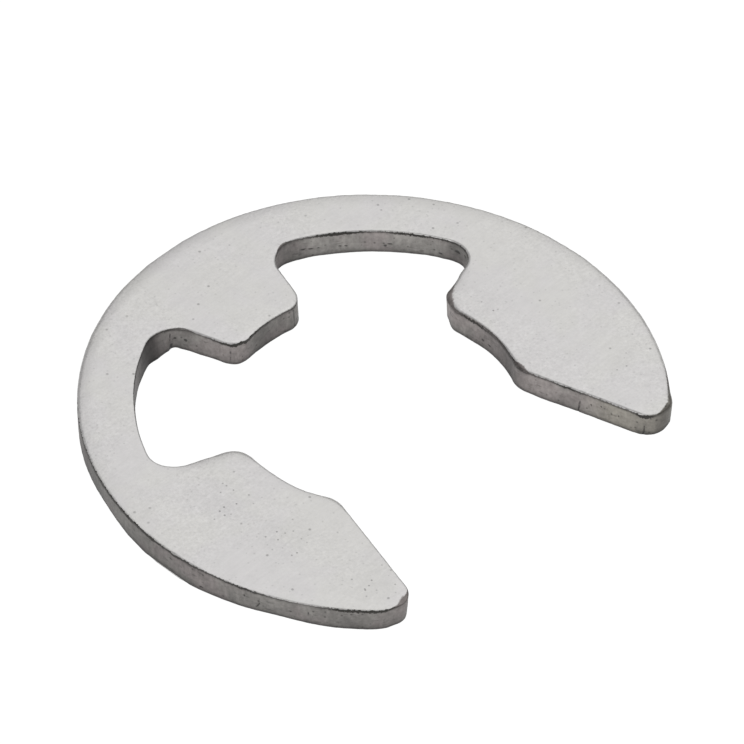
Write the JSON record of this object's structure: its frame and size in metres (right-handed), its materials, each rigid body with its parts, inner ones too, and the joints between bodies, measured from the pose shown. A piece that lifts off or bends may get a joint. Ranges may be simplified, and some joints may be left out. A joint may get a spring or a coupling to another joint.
{
  "type": "e clip",
  "caption": "Flat stamped steel E-type retaining ring with a flared mouth, inward prongs and relief pockets, pushed sideways onto a grooved shaft.",
  "frame": {"origin": "centre of the gripped shaft, on the face that the clip lies on", "axes": "+Z along the shaft, out of the face with the rolled edge; +X across the clip's width; the mouth opens towards -Y"},
  "size_m": [0.029, 0.0253, 0.0015],
  "materials": {
    "steel": "matte tumbled stainless sheet, darker sheared edges"
  },
  "bodies": {
    "root": {"clip": "steel"}
  },
  "joints": []
}
